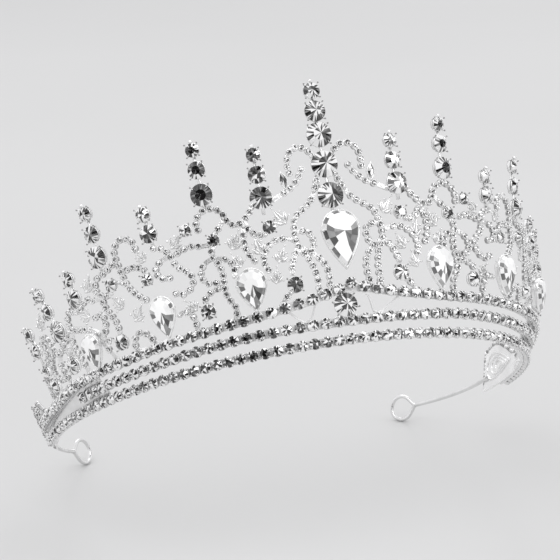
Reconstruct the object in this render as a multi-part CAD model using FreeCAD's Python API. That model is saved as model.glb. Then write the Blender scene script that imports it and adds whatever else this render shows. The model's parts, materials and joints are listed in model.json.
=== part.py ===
import FreeCAD, Part
import bisect
import math
import os

Vector = FreeCAD.Vector

# A bridal tiara. All sizes are in millimetres.
#
# The shape is laid out on the band's own surface: S is the distance from the centre of the front,
# measured round the lower rail, and H is the height above the lower rail. Positive S is the wearer's
# left side, which is +X. The finished tiara is then tipped back, as it sits on a head.

# ---- Driving dimensions ----
HALF_WIDTH = 70.6  # centre line to the lower rail at its widest
FRONT_DEPTH = 80.0  # widest point to the lower rail at the front
TIP_BACK = 28.0  # degrees that the band's plane is raised at the front
LEAN_FRONT = 0.095  # outward lean of the ornament at the front, radians
LEAN_SIDE = 0.155  # further lean gained towards the sides, radians
FLARE = 8.0  # how far the band stands out at its fullest height
FLARE_HEIGHT = 14.0  # height of the fullest part of the band
FLARE_ANGLE = 1.1  # plan angle, in radians, by which the flare has fallen to half
BAND_END = 126.0  # S where the rails stop
MIDDLE_RAIL_END = 84.0  # S where the middle rail runs into the end plate
PLATE_END = 137.0  # S where the end plates stop
PLATE_TOP = [(74, 6.6), (84, 6.6), (96, 5.6), (108, 5.2), (116, 6.6), (122, 9.8), (128, 12.6), (134, 13.0),
             (PLATE_END, 11.4)]  # (S, H) of an end plate's upper edge
PLATE_STEPS = 14

RAIL_WIDTH = 2.4
RAIL_THICKNESS = 0.6
RAIL_STONE_RADIUS = 1.5
RAIL_PITCH = 3.34
LOWER_RAIL = [(0, 0), (BAND_END, 0)]
MIDDLE_RAIL = [(0, 4.2), (30, 4.3), (60, 3.5), (MIDDLE_RAIL_END, 3.4)]
UPPER_RAIL = [(0, 13.3), (3.4, 11.7), (10, 10.2), (18, 9.0), (25, 8.3), (36, 7.8), (60, 6.95), (84, 6.8),
              (96, 5.6), (108, 4.9), (BAND_END, 4.5)]

SCROLL_WIDTH = 1.2
SCROLL_THICKNESS = 0.9
SCROLL_STONE_RADIUS = 0.82
SCROLL_PITCH = 1.95
SCROLL_GAP = 1.7  # least distance between the centres of two scroll stones
STEM_WIDTH = 1.3
STEM_THICKNESS = 1.0
SETTING_WALL = 0.35
SETTING_DEPTH = 1.3
SETTING_PROUD = 0.9  # girdle plane of a set stone above the scroll work
PRONG_RADIUS = 0.27
PRONG_RISE = 0.42
WIRE_RADIUS = 0.65
EYE_RADIUS = 3.75  # wire centre line of the hairpin eye's round part
EYE_NECK = 1.3  # distance from the eye's centre to its pointed neck, over its radius
EYE_BORE_RADIUS = 3.2  # round hole left for a pin or ribbon
EYE_CENTRE = Vector(53.4, 60.6, 5.6)
EYE_NORMAL = Vector(0.7, 0.71, 0.0)
ARM_BOW = 2.4  # how far the wire arm bows outwards

# Stones as (S, H, radius), from the top of each spire down
CENTRE_SPIRE = [(0, 69.2, 2.1), (0, 63.4, 2.65), (0, 56.7, 3.2), (0, 48.2, 3.4), (0, 39.2, 3.25)]
SIDE_SPIRES = {
    1: [(17.0, 53.2, 1.75), (17.0, 47.6, 2.2), (17.0, 41.0, 2.8)],
    2: [(30.4, 57.8, 1.75), (30.4, 52.2, 2.2), (30.4, 45.2, 2.8)],
    3: [(45.4, 44.2, 1.85), (45.0, 38.6, 2.3)],
    4: [(61.0, 50.0, 1.85), (60.6, 43.9, 2.2), (60.6, 37.2, 2.8)],
    5: [(72.4, 34.8, 1.85), (71.8, 28.9, 2.25)],
    6: [(87.6, 35.2, 1.85), (85.4, 29.4, 2.15), (82.4, 22.6, 2.75)],
    7: [(101.0, 27.4, 1.85), (99.4, 21.8, 2.1)],
}
SPIRE_FOOT = {1: 36.4, 2: 39.6, 3: 32.0, 4: 31.4, 5: 24.6, 6: 17.4, 7: 16.4}
CENTRE_FOOT = 34.0

# Teardrops as (S, H of the middle, half width, height), point down
CENTRE_DROP = (0.0, 25.8, 4.7, 15.4)
SIDE_DROPS = {1: (22.4, 15.6, 3.6, 11.0), 2: (44.0, 14.4, 3.25, 10.6), 3: (67.6, 12.4, 2.8, 9.0)}
BEZEL_WALL = 0.5
BEZEL_DEPTH = 2.2
DROP_PROUD = 2.4

BASE_STONE = (-2.2, 7.7, 3.1)  # hand set, a little to one side of the centre line
BASE_PROUD = 3.6  # the base stone stands in front of the rails
BASE_POST_RADIUS = 0.7
BRACE = [(-5.5, 10.0), (-7.3, 7.6), (-8.9, 5.4), (-11.4, 6.6), (-14.4, 8.4)]  # S is from the base stone
BRACE_WIDTH = 0.6
ROUND_STONES = [(12.8, 14.9, 2.1), (33.6, 12.6, 2.0), (58.4, 11.6, 2.0), (16.3, 32.4, 1.75),
                (29.6, 32.0, 1.65), (35.8, 36.6, 1.6), (47.4, 26.0, 1.55), (58.0, 28.0, 1.7),
                (80.0, 11.6, 2.3), (97.6, 14.8, 1.8), (95.6, 9.9, 2.4),
                (133.8, 2.4, 1.3), (134.4, 6.0, 1.3), (133.6, 9.6, 1.3), (130.0, 11.0, 1.3), (126.2, 9.4, 1.3)]

# Scroll work, grouped in cast panels: each stroke lists the (S, H) points that its curve passes
PANELS = {
    1: [[(2.6, 50.6), (3.9, 52.9), (6.2, 53.8), (8.4, 52.4), (9.3, 49.8), (9.2, 46.8)],
        [(6.0, 47.4), (7.2, 45.2), (8.8, 43.2), (11.4, 41.4), (15.0, 39.4)],
        [(2.2, 45.6), (3.6, 41.6), (5.8, 37.6), (9.6, 34.2), (10.6, 30.6), (10.4, 25.4)],
        [(7.6, 23.4), (6.6, 26.4), (7.4, 29.2), (10.4, 29.6)],
        [(10.6, 26.8), (13.0, 28.4), (15.8, 28.2), (18.0, 26.0), (18.8, 23.2), (18.2, 20.4)],
        [(10.4, 25.6), (7.6, 23.2), (5.4, 20.4), (4.6, 16.6), (5.2, 11.8)],
        [(10.4, 25.2), (8.5, 21.4), (7.5, 17.0), (7.8, 11.2)],
        [(10.4, 25.4), (12.2, 21.8), (13.0, 17.6)],
        [(13.6, 13.4), (15.8, 11.4), (17.4, 9.4)]],
    2: [[(19.6, 39.4), (21.6, 36.0), (24.2, 34.8), (25.8, 36.6), (26.8, 39.2), (28.9, 40.8), (31.6, 40.4),
         (33.0, 38.2), (32.9, 35.8)],
        [(16.9, 30.4), (19.6, 31.0), (21.6, 34.6)],
        [(26.4, 37.8), (27.8, 35.2), (29.4, 33.6)],
        [(21.8, 35.4), (22.6, 31.2), (22.4, 27.0), (21.0, 23.6)],
        [(29.6, 30.4), (30.6, 28.2), (29.6, 25.4), (28.7, 20.4), (28.5, 15.2), (27.2, 12.2), (28.4, 9.0)],
        [(29.8, 26.4), (27.2, 25.4), (25.9, 22.8), (26.2, 20.2)],
        [(30.0, 26.6), (32.6, 25.8), (33.8, 23.2), (32.9, 20.6), (30.6, 19.8)],
        [(28.7, 18.4), (31.4, 17.8), (33.6, 16.4), (33.7, 14.4)],
        [(29.8, 31.6), (32.4, 31.0), (35.4, 31.8), (38.0, 31.2), (40.6, 30.4)]],
    3: [[(44.6, 34.2), (42.6, 33.4), (40.6, 30.4), (39.2, 27.0), (36.6, 24.4), (36.0, 21.4), (37.8, 19.2),
         (40.6, 19.8)],
        [(40.4, 30.2), (43.2, 30.0), (44.9, 27.8), (43.8, 25.4), (41.6, 24.6)],
        [(38.2, 8.4), (37.4, 11.2), (38.6, 13.8), (40.8, 13.6)],
        [(49.4, 35.8), (50.4, 38.4), (52.8, 39.6), (55.0, 38.2), (55.4, 35.0), (54.6, 31.2), (53.6, 27.4),
         (51.4, 23.4), (48.6, 20.6)],
        [(54.3, 30.0), (51.4, 30.8), (48.8, 29.8), (47.2, 27.4)],
        [(55.3, 34.6), (57.4, 33.2), (60.2, 32.0)],
        [(49.6, 7.9), (50.2, 10.8), (52.4, 12.4), (54.6, 11.0), (54.4, 7.9)]],
    4: [[(60.6, 32.4), (62.8, 30.8), (63.2, 28.2), (61.4, 26.0), (58.2, 26.2)],
        [(56.6, 28.6), (54.0, 27.2)],
        [(61.6, 26.2), (64.6, 25.8), (67.2, 27.0), (70.0, 25.6), (72.6, 25.2), (75.2, 26.0), (76.6, 23.6),
         (75.4, 21.0)],
        [(61.4, 26.0), (60.6, 21.8), (58.6, 18.0), (58.4, 13.8)],
        [(58.6, 13.6), (61.6, 13.0), (64.4, 15.2), (68.0, 18.4), (72.0, 19.6), (75.6, 21.2)],
        [(63.2, 7.2), (63.0, 10.0), (64.2, 12.6), (64.4, 15.2)],
        [(64.2, 15.2), (62.0, 17.6), (62.6, 20.6), (65.2, 21.0)],
        [(75.4, 21.2), (76.6, 17.2), (75.4, 12.8), (75.8, 7.0)]],
    5: [[(81.9, 18.4), (84.4, 16.8), (87.6, 18.0), (89.4, 21.2), (91.4, 23.8), (94.0, 22.6)],
        [(75.9, 20.4), (79.0, 19.2), (81.9, 18.4)],
        [(84.6, 16.8), (86.6, 13.4), (85.8, 9.8), (87.0, 6.4)],
        [(88.0, 18.2), (91.2, 16.0), (91.8, 12.4), (89.4, 10.2), (86.2, 11.0)],
        [(94.0, 22.6), (92.6, 19.6), (93.8, 17.2), (95.6, 16.6)],
        [(97.4, 15.6), (99.2, 12.6), (99.6, 9.4), (101.8, 6.8), (105.0, 5.4)]],
}

# Leaves as (S, H of the middle, turn from upright in degrees, length, width)
LEAVES = [(13.6, 35.0, 35, 4.8, 2.2), (14.6, 24.0, -28, 4.2, 2.0), (19.6, 27.8, 12, 4.8, 2.2),
          (16.6, 18.4, -14, 4.0, 1.8), (24.6, 30.6, -30, 4.8, 2.2), (25.2, 24.8, 24, 4.0, 1.8),
          (37.6, 15.4, 40, 3.8, 1.8), (38.4, 34.4, -46, 4.4, 1.9), (48.4, 33.2, 40, 4.0, 1.8),
          (57.2, 22.6, 36, 4.4, 2.0), (51.0, 17.6, -40, 4.4, 2.0), (65.4, 31.0, -34, 4.4, 2.0),
          (69.0, 23.0, 62, 4.4, 2.0), (79.4, 15.6, -48, 4.0, 1.8), (90.2, 28.0, -24, 4.4, 2.0),
          (11.0, 44.8, 8, 4.0, 1.8)]

# ---- The band's surface ----
ANGLE_STEPS = 1000
LAST_ANGLE = math.radians(120.0)


def plan_point(angle):
    return Vector(HALF_WIDTH * math.sin(angle), -FRONT_DEPTH * math.cos(angle), 0.0)


def make_arc_lengths():
    lengths = [0.0]
    for step in range(1, ANGLE_STEPS + 1):
        before = plan_point(LAST_ANGLE * (step - 1) / ANGLE_STEPS)
        after = plan_point(LAST_ANGLE * step / ANGLE_STEPS)
        lengths.append(lengths[-1] + before.distanceToPoint(after))
    return lengths


ARC_LENGTHS = make_arc_lengths()


def angle_at(s):
    """Plan angle, from the centre of the front, at the distance s round the lower rail."""
    reach = min(abs(s), ARC_LENGTHS[-2])
    step = max(bisect.bisect_right(ARC_LENGTHS, reach) - 1, 0)
    span = ARC_LENGTHS[step + 1] - ARC_LENGTHS[step]
    angle = LAST_ANGLE * (step + (reach - ARC_LENGTHS[step]) / span) / ANGLE_STEPS
    return math.copysign(angle, s)


def directions_at(s):
    """Unit vectors at s: round the band, up the leaning ornament, and out of its face."""
    angle = angle_at(s)
    outward = Vector(math.sin(angle) / HALF_WIDTH, -math.cos(angle) / FRONT_DEPTH, 0.0)
    outward.normalize()
    along = Vector(-outward.y, outward.x, 0.0)
    lean = LEAN_FRONT + LEAN_SIDE * angle ** 2 / (angle ** 2 + 0.08)
    up = Vector(0, 0, 1) * math.cos(lean) + outward * math.sin(lean)
    face = outward * math.cos(lean) - Vector(0, 0, 1) * math.sin(lean)
    return along, up, face, outward


def flare_at(s, h):
    fullness = max(h, 0.0) / FLARE_HEIGHT
    fade = 1.0 / (1.0 + (angle_at(s) / FLARE_ANGLE) ** 6)
    return FLARE * fullness ** 1.6 * math.exp(1.6 * (1.0 - fullness)) * fade


def place(s, h, proud=0.0):
    """Point of the surface at (s, h), raised by proud out of its face."""
    along, up, face, outward = directions_at(s)
    return plan_point(angle_at(s)) + up * h + outward * flare_at(s, h) + face * proud


def placement(s, h, proud=0.0, turn=0.0):
    """Placement with local X round the band, Y up and Z out of the face, turned about Z."""
    along, up, face, outward = directions_at(s)
    rotation = FreeCAD.Rotation(along, up, face, "ZXY")
    spin = FreeCAD.Rotation(Vector(0, 0, 1), turn)
    return FreeCAD.Placement(place(s, h, proud), rotation.multiply(spin))


def placed(shape, s, h, proud=0.0, turn=0.0):
    copy = shape.copy()
    copy.Placement = placement(s, h, proud, turn)
    return copy


# ---- Building blocks ----
def smooth_path(points, spacing):
    """Points about spacing apart along a smooth curve through flat (s, h) points."""
    curve = Part.BSplineCurve()
    curve.interpolate([Vector(s, h, 0) for s, h in points])
    length = curve.length()
    count = max(int(round(length / spacing)), 2)
    return [curve.value(curve.parameterAtDistance(length * i / count)) for i in range(count + 1)]


def strip(path, width, thickness, proud=0.0):
    """Flat bar that follows a list of flat (s, h) points on the surface."""
    centres = [place(p.x, p.y, proud) for p in path]
    sections = []
    for i, centre in enumerate(centres):
        ahead = centres[min(i + 1, len(centres) - 1)]
        behind = centres[max(i - 1, 0)]
        run = (ahead - behind).normalize()
        face = directions_at(path[i].x)[2]
        side = face.cross(run).normalize() * (width / 2)
        lift = run.cross(side).normalize() * (thickness / 2)
        corners = [centre + side + lift, centre - side + lift, centre - side - lift, centre + side - lift]
        sections.append(Part.makePolygon(corners + corners[:1]))
    return Part.makeLoft(sections, True, False)


def revolved(profile):
    """Solid of revolution about Z from (radius, height) points."""
    points = [Vector(r, 0, z) for r, z in profile]
    face = Part.Face(Part.makePolygon(points + points[:1]))
    return Part.Solid(face.revolve(Vector(0, 0, 0), Vector(0, 0, 1), 360).Shells[0])


def round_stone(radius):
    """Pointed-back round stone with its girdle plane at Z = 0."""
    return revolved([(0, -0.72 * radius), (0.12 * radius, -0.72 * radius), (radius, -0.06),
                     (radius, 0.06), (0.58 * radius, 0.34 * radius), (0, 0.34 * radius)])


def flat_back_stone(radius):
    return Part.makeCone(radius, 0.6 * radius, 0.5 * radius)


def rail_cup():
    """Open cup of a cup chain: a thin floor and a wall just below the stone's girdle."""
    outer = RAIL_STONE_RADIUS + 0.15
    inner = RAIL_STONE_RADIUS - 0.2
    return revolved([(0, -1.5), (outer, -1.5), (outer, -0.3), (inner, -0.3), (inner, -1.25), (0, -1.25)])


def claw_setting(radius, prongs=4):
    """Ring under a round stone with upright prongs outside its girdle."""
    outer = radius + SETTING_WALL
    inner = radius - 0.3
    ring = revolved([(inner, -SETTING_DEPTH), (outer, -SETTING_DEPTH), (outer, -0.3), (inner, -0.3)])
    fingers = []
    for i in range(prongs):
        turn = math.radians(45 + 360.0 * i / prongs)
        reach = radius + PRONG_RADIUS + 0.04
        foot = Vector(reach * math.cos(turn), reach * math.sin(turn), -SETTING_DEPTH * 0.8)
        fingers.append(Part.makeCylinder(PRONG_RADIUS, SETTING_DEPTH * 0.8 + PRONG_RISE, foot))
    return ring.multiFuse(fingers)


def drop_outline(half_width, height, offset=0.0, z=0.0):
    """Teardrop wire, point down: a round head and two sides that curve in to the point."""
    radius = half_width + offset
    head = Vector(0, height / 2 - half_width, z)
    point = Vector(0, -height / 2 - 1.5 * offset, z)
    left, right = head + Vector(-radius, 0, 0), head + Vector(radius, 0, 0)
    belly = Vector(radius * 0.66, (head.y + point.y) / 2 - radius * 0.04, 0)
    right_belly = Vector(belly.x, belly.y, z)
    left_belly = Vector(-belly.x, belly.y, z)
    top = head + Vector(0, radius, 0)
    return Part.Wire([Part.Arc(left, top, right).toShape(), Part.Arc(right, right_belly, point).toShape(),
                      Part.Arc(point, left_belly, left).toShape()])


def drop_stone(half_width, height):
    """Faceted teardrop: a raised table over the girdle and a shallower back."""
    girdle = drop_outline(half_width, height, 0.0, 0.0)
    table = drop_outline(half_width, height, -0.36 * half_width, 0.34 * half_width)
    back = drop_outline(half_width, height, -0.5 * half_width, -0.42 * half_width)
    crown = Part.makeLoft([girdle, table], True, True)
    pavilion = Part.makeLoft([back, girdle], True, True)
    return crown.fuse(pavilion)


def drop_setting(half_width, height):
    """Bezel round a teardrop, with a closed back and a small claw at the point and the head."""
    outer = Part.Face(drop_outline(half_width, height, BEZEL_WALL, -BEZEL_DEPTH))
    cup = outer.extrude(Vector(0, 0, BEZEL_DEPTH - 0.15))
    inner = Part.Face(drop_outline(half_width, height, -0.12, -BEZEL_DEPTH + 0.4))
    cup = cup.cut(inner.extrude(Vector(0, 0, BEZEL_DEPTH)))
    claws = []
    for x, y in ((0, height / 2 + 0.35), (0, -height / 2 - 0.55), (half_width + 0.35, height * 0.12),
                 (-half_width - 0.35, height * 0.12)):
        claws.append(Part.makeCylinder(0.3, 1.4, Vector(x, y, -1.0)))
    return cup.multiFuse(claws)


def leaf(length, width):
    """Pointed leaf plate with a flat back."""
    tip, foot = Vector(0, length / 2, 0), Vector(0, -length / 2, 0)
    right, left = Vector(width / 2, 0, 0), Vector(-width / 2, 0, 0)
    edge = Part.Wire([Part.Arc(foot, right, tip).toShape(), Part.Arc(tip, left, foot).toShape()])
    return Part.Face(edge).extrude(Vector(0, 0, 0.7))


# ---- The pieces ----
RAILS = {"lower": LOWER_RAIL, "middle": MIDDLE_RAIL, "upper": UPPER_RAIL}


def rail_height(points, s):
    """Height of a rail's centre line at s, from its (S, H) points."""
    reach = abs(s)
    for (s0, h0), (s1, h1) in zip(points, points[1:]):
        if reach <= s1:
            return h0 + (h1 - h0) * (reach - s0) / (s1 - s0)
    return points[-1][1]


def rail_sites(points):
    """Sites for the cups of one rail, one pitch apart along it and symmetric about the centre."""
    sites = [0.0]
    while sites[-1] < points[-1][0] - RAIL_PITCH:
        here = sites[-1]
        rise = (rail_height(points, here + RAIL_PITCH) - rail_height(points, here)) / RAIL_PITCH
        sites.append(here + RAIL_PITCH / math.sqrt(1 + rise * rise))
    both = [-s for s in reversed(sites[1:])] + sites
    return [(s, rail_height(points, s)) for s in both]


def make_rails(parts):
    cup = rail_cup()
    stone = round_stone(RAIL_STONE_RADIUS)
    for name, points in RAILS.items():
        sites = rail_sites(points)
        end = points[-1][0]
        path = [(-end, points[-1][1])] + sites[::2] + [(end, points[-1][1])]
        parts[name + "_rail"] = strip([Vector(s, h, 0) for s, h in path], RAIL_WIDTH, RAIL_THICKNESS)
        proud = RAIL_THICKNESS / 2 + 1.5
        parts[name + "_rail_cups"] = Part.makeCompound([placed(cup, s, h, proud) for s, h in sites])
        parts[name + "_rail_stones"] = Part.makeCompound([placed(stone, s, h, proud) for s, h in sites])


def make_spire(stones, foot_s, foot_h):
    """Stem with a claw setting for each stone, in one casting."""
    path = [Vector(s, h, 0) for s, h, radius in stones] + [Vector(foot_s, foot_h, 0)]
    stem = strip(path, STEM_WIDTH, STEM_THICKNESS)
    settings = [placed(claw_setting(radius), s, h, SETTING_PROUD) for s, h, radius in stones]
    return stem.multiFuse(settings)


def side_name(side):
    return "left" if side > 0 else "right"


def mirrored(stones, side):
    return [(side * stone[0],) + tuple(stone[1:]) for stone in stones]


def make_spires(parts):
    parts["center_spire"] = make_spire(CENTRE_SPIRE, 0.0, CENTRE_FOOT)
    parts["center_spire_stones"] = Part.makeCompound(
        [placed(round_stone(radius), s, h, SETTING_PROUD) for s, h, radius in CENTRE_SPIRE])
    set_stones = []
    for side in (1, -1):
        for number, stones in SIDE_SPIRES.items():
            own = mirrored(stones, side)
            name = "spire_%d_%s" % (number, side_name(side))
            parts[name] = make_spire(own, own[-1][0], SPIRE_FOOT[number])
            set_stones += [placed(round_stone(radius), s, h, SETTING_PROUD) for s, h, radius in own]
    parts["spire_stones"] = Part.makeCompound(set_stones)


def make_drops(parts):
    s, h, half_width, height = CENTRE_DROP
    parts["center_drop_setting"] = placed(drop_setting(half_width, height), s, h, DROP_PROUD)
    parts["center_drop_stone"] = placed(drop_stone(half_width, height), s, h, DROP_PROUD)
    stones = []
    for side in (1, -1):
        for number, (s, h, half_width, height) in SIDE_DROPS.items():
            name = "drop_setting_%d_%s" % (number, side_name(side))
            parts[name] = placed(drop_setting(half_width, height), side * s, h, DROP_PROUD)
            stones.append(placed(drop_stone(half_width, height), side * s, h, DROP_PROUD))
    parts["drop_stones"] = Part.makeCompound(stones)


def make_round_stones(parts):
    s, h, radius = BASE_STONE
    rails = [Vector(s, rail_height(points, s), 0) for points in (MIDDLE_RAIL, UPPER_RAIL)]
    bridge = strip(rails, STEM_WIDTH, STEM_THICKNESS)
    post = placed(Part.makeCylinder(BASE_POST_RADIUS, BASE_PROUD - SETTING_DEPTH + 0.3), s, h)
    floor = placed(Part.makeCylinder(radius, 0.3, Vector(0, 0, -SETTING_DEPTH)), s, h, BASE_PROUD)
    setting = placed(claw_setting(radius, 6), s, h, BASE_PROUD)
    parts["base_setting"] = bridge.multiFuse([post, floor, setting])
    parts["base_stone"] = placed(round_stone(radius), s, h, BASE_PROUD)
    sites = mirrored(ROUND_STONES, 1) + mirrored(ROUND_STONES, -1)
    parts["round_settings"] = Part.makeCompound(
        [placed(claw_setting(radius), s, h, SETTING_PROUD) for s, h, radius in sites])
    parts["round_stones"] = Part.makeCompound(
        [placed(round_stone(radius), s, h, SETTING_PROUD) for s, h, radius in sites])


def large_settings():
    """Circles (S, H, radius) that the settings of the larger stones fill."""
    circles = ROUND_STONES + CENTRE_SPIRE + sum(SIDE_SPIRES.values(), [])
    circles = [(s, h, radius + SETTING_WALL) for s, h, radius in circles]
    for s, h, half_width, height in [CENTRE_DROP] + list(SIDE_DROPS.values()):
        radius = half_width + BEZEL_WALL
        circles += [(s, h + height / 2 - half_width, radius), (s, h - 0.12 * height, 0.75 * radius),
                    (s, h - 0.36 * height, 0.4 * radius)]
    return circles


def scroll_sites():
    """Sites of the small stones along every scroll, clear of each other and of larger pieces."""
    circles = large_settings()
    sites = []
    for stroke in sum(PANELS.values(), []):
        for p in smooth_path(stroke, SCROLL_PITCH):
            clear = all(math.hypot(p.x - s, p.y - h) >= SCROLL_GAP for s, h in sites)
            clear = clear and all(math.hypot(p.x - s, p.y - h) > radius + SCROLL_STONE_RADIUS
                                  for s, h, radius in circles)
            if clear and p.y > rail_height(UPPER_RAIL, p.x) + RAIL_STONE_RADIUS + SCROLL_STONE_RADIUS:
                sites.append((p.x, p.y))
    return sites


def make_scrolls(parts):
    small = flat_back_stone(SCROLL_STONE_RADIUS)
    sites = scroll_sites()
    for number, strokes in PANELS.items():
        bars = [strip(smooth_path(stroke, 1.6), SCROLL_WIDTH, SCROLL_THICKNESS) for stroke in strokes]
        panel = bars[0].multiFuse(bars[1:])
        parts["scroll_%d_left" % number] = panel
        parts["scroll_%d_right" % number] = panel.mirror(Vector(0, 0, 0), Vector(1, 0, 0))
    for side in (1, -1):
        parts["scroll_stones_" + side_name(side)] = Part.makeCompound(
            [placed(small, side * s, h, SCROLL_THICKNESS / 2) for s, h in sites])


def make_leaves(parts):
    parts["leaves"] = Part.makeCompound(
        [placed(leaf(length, width), side * s, h, -0.2, -side * turn)
         for side in (1, -1) for s, h, turn, length, width in LEAVES])


def hairpin_eye():
    """Pear-shaped wire eye in the XY plane, centred on its round part, with its neck along X."""
    apex = Vector(EYE_RADIUS * EYE_NECK, 0, 0)
    spread = math.acos(1.0 / EYE_NECK)
    section = Part.Face(Part.Wire(Part.makeCircle(WIRE_RADIUS, Vector(EYE_RADIUS, 0, 0), Vector(0, 1, 0))))
    section.rotate(Vector(0, 0, 0), Vector(0, 0, 1), math.degrees(spread))
    bow = section.revolve(Vector(0, 0, 0), Vector(0, 0, 1), 360 - 2 * math.degrees(spread))
    neck = [Part.makeSphere(WIRE_RADIUS * 1.25, apex)]
    for turn in (spread, -spread):
        foot = Vector(math.cos(turn), math.sin(turn), 0) * EYE_RADIUS
        neck.append(Part.makeCylinder(WIRE_RADIUS, (apex - foot).Length, foot, apex - foot))
    bore = Part.makeCylinder(EYE_BORE_RADIUS, 2, Vector(0, 0, -1))
    return bow.multiFuse(neck).cut(bore), apex


def end_plate(side):
    """Smooth plate behind the rails that ties them together towards one end."""
    start = PLATE_TOP[0][0]
    sections = []
    for i in range(PLATE_STEPS + 1):
        s = start + (PLATE_END - start) * i / PLATE_STEPS
        top = rail_height(PLATE_TOP, s)
        corners = [place(side * s, h, proud) for h, proud in ((-0.9, -0.3), (-0.9, -0.9), (top, -0.9),
                                                              (top, -0.3))]
        sections.append(Part.makePolygon(corners + corners[:1]))
    return Part.makeLoft(sections, True, False)


def make_ends(parts):
    """End plates, and the wire arms with their hairpin eyes."""
    for side in (1, -1):
        parts["end_plate_" + side_name(side)] = end_plate(side)
        centre = Vector(side * EYE_CENTRE.x, EYE_CENTRE.y, EYE_CENTRE.z)
        normal = Vector(side * EYE_NORMAL.x, EYE_NORMAL.y, EYE_NORMAL.z).normalize()
        start = place(side * (PLATE_END - 3.5), 2.6, -0.9 - WIRE_RADIUS)
        way = start - centre
        way = (way - normal * way.dot(normal)).normalize()
        eye, apex = hairpin_eye()
        eye.Placement = FreeCAD.Placement(centre, FreeCAD.Rotation(way, normal.cross(way), normal, "ZXY"))
        neck = centre + way * apex.x
        middle = (start + neck) / 2 + Vector(side * ARM_BOW, ARM_BOW * 0.4, -ARM_BOW * 0.2)
        arc = Part.Arc(start, middle, neck).toShape()
        section = Part.Wire(Part.makeCircle(WIRE_RADIUS, start, arc.tangentAt(arc.FirstParameter)))
        arm = Part.Wire([arc]).makePipeShell([section], True, True)
        parts["wire_arm_" + side_name(side)] = eye.fuse(arm)


def make_braces(parts):
    """Fine V-shaped wires that hold the middle rail to the upper rail beside the base stone."""
    bars = []
    for side in (1, -1):
        path = [Vector(BASE_STONE[0] + side * s, h, 0) for s, h in BRACE]
        bars.append(strip(path, BRACE_WIDTH, BRACE_WIDTH, -0.1))
    parts["center_braces"] = Part.makeCompound(bars)


def finish_pose(parts):
    """Tips the tiara back and sets the origin under the middle of its outline, at the lowest point."""
    turn = FreeCAD.Placement(Vector(0, 0, 0), FreeCAD.Rotation(Vector(1, 0, 0), -TIP_BACK))
    for name in parts:
        parts[name].transformShape(turn.toMatrix())
    box = Part.makeCompound(list(parts.values())).BoundBox
    shift = Vector(-box.Center.x, -box.Center.y, -box.ZMin)
    for shape in parts.values():
        shape.translate(shift)


def main():
    parts = {}
    make_rails(parts)
    make_spires(parts)
    make_drops(parts)
    make_round_stones(parts)
    make_scrolls(parts)
    make_leaves(parts)
    make_ends(parts)
    make_braces(parts)
    finish_pose(parts)
    os.makedirs("parts", exist_ok=True)
    for name, shape in parts.items():
        shape.exportStep("parts/" + name + ".step")


main()
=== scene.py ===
import json
import math
import random

import bmesh
import bpy
import numpy as np
from mathutils import Matrix, Vector
from mathutils.bvhtree import BVHTree


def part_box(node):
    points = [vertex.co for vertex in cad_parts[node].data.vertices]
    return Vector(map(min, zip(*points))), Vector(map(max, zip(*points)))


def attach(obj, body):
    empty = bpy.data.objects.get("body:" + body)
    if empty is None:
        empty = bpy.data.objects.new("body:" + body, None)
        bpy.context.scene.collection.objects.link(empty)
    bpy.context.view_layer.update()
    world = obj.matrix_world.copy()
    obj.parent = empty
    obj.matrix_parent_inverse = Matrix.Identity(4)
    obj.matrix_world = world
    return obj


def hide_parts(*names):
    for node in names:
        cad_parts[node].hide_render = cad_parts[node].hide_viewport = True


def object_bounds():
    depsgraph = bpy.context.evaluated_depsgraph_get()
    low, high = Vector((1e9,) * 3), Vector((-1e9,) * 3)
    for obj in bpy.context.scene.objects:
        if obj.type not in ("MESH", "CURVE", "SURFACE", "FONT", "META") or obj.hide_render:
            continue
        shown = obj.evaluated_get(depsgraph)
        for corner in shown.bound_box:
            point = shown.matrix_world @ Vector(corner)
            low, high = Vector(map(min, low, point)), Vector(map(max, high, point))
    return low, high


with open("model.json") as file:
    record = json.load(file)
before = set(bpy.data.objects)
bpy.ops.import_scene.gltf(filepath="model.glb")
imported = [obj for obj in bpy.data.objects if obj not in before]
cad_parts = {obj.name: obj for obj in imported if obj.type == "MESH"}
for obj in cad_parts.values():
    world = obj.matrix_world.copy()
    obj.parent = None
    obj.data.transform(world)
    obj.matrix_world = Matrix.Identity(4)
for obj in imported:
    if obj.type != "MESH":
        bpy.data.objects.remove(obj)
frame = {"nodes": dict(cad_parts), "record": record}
cad_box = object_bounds()
SEED = 7
MM = 0.001
chance = random.Random(SEED)

# ---- The tiara's attitude: its own band plane is tipped back in the CAD frame ----
TIP_BACK = math.radians(28.0)
EYE_IN_BAND = Vector((53.4, 60.6, 5.6)) * MM
TIP = Matrix.Rotation(-TIP_BACK, 3, "X")
mounts = {m["name"]: m for m in frame["record"]["mounts"]}
BAND_ORIGIN = Vector(mounts["eye_left"]["pos_m"]) - TIP @ EYE_IN_BAND

# ---- Materials ----


def new_material(name):
    material = bpy.data.materials.new(name)
    material.use_nodes = True
    nodes = material.node_tree.nodes
    return material, nodes, material.node_tree.links, nodes["Principled BSDF"]


def ramp(nodes, stops):
    node = nodes.new("ShaderNodeValToRGB")
    while len(node.color_ramp.elements) < len(stops):
        node.color_ramp.elements.new(0.5)
    for element, (position, value) in zip(node.color_ramp.elements, stops):
        element.position = position
        element.color = (value, value, value, 1.0)
    return node


def noise_node(nodes, scale, detail=2.0):
    node = nodes.new("ShaderNodeTexNoise")
    node.inputs["Scale"].default_value = scale
    node.inputs["Detail"].default_value = detail
    return node


def mix_node(nodes, blend, share):
    node = nodes.new("ShaderNodeMix")
    node.data_type = "RGBA"
    node.blend_type = blend
    node.inputs["Factor"].default_value = share
    return node


CLOUD_SCALE = 160.0
CLOUD_DIMMING = 0.86
POLISH_RANGE = (0.7, 1.5)
STREAK_SCALE = 900.0
STREAK_SHARE = 0.3


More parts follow.
